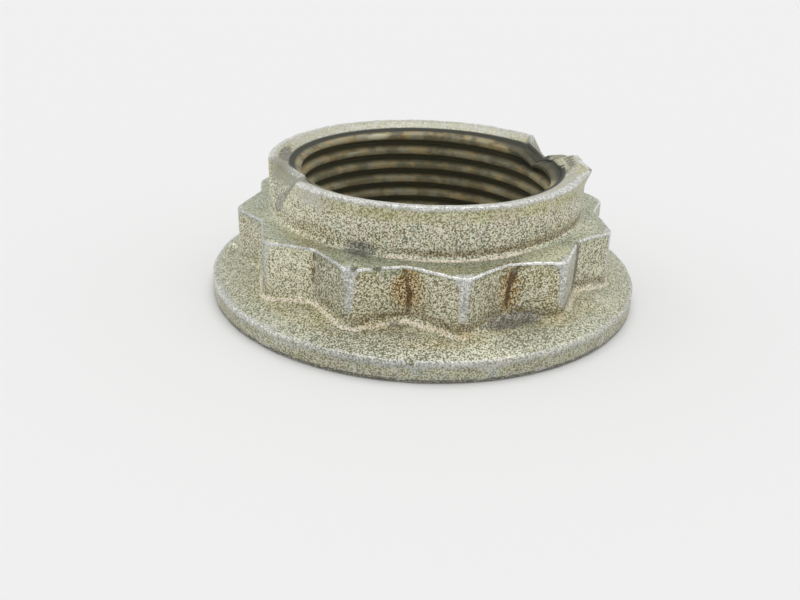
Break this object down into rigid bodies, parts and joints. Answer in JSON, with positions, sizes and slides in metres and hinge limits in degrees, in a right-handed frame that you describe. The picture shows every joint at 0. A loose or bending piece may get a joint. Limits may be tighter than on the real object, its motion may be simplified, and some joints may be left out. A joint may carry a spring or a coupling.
{
  "type": "flange nut",
  "caption": "Round flanged hub nut with a double-hexagon drive, a fine internal thread and a plain collar dented inwards where it was staked.",
  "frame": {"origin": "middle of the bearing face under the flange, on the thread's axis", "axes": "+Z along the thread's axis, from the bearing face to the collar's rim; -Y towards the picture's camera"},
  "size_m": [0.039, 0.039, 0.0121],
  "materials": {
    "zinc_steel": "zinc-plated steel, speckled and matt, with rubbed bright edges and brown stains"
  },
  "bodies": {
    "root": {"flange_nut": "zinc_steel"}
  },
  "joints": []
}
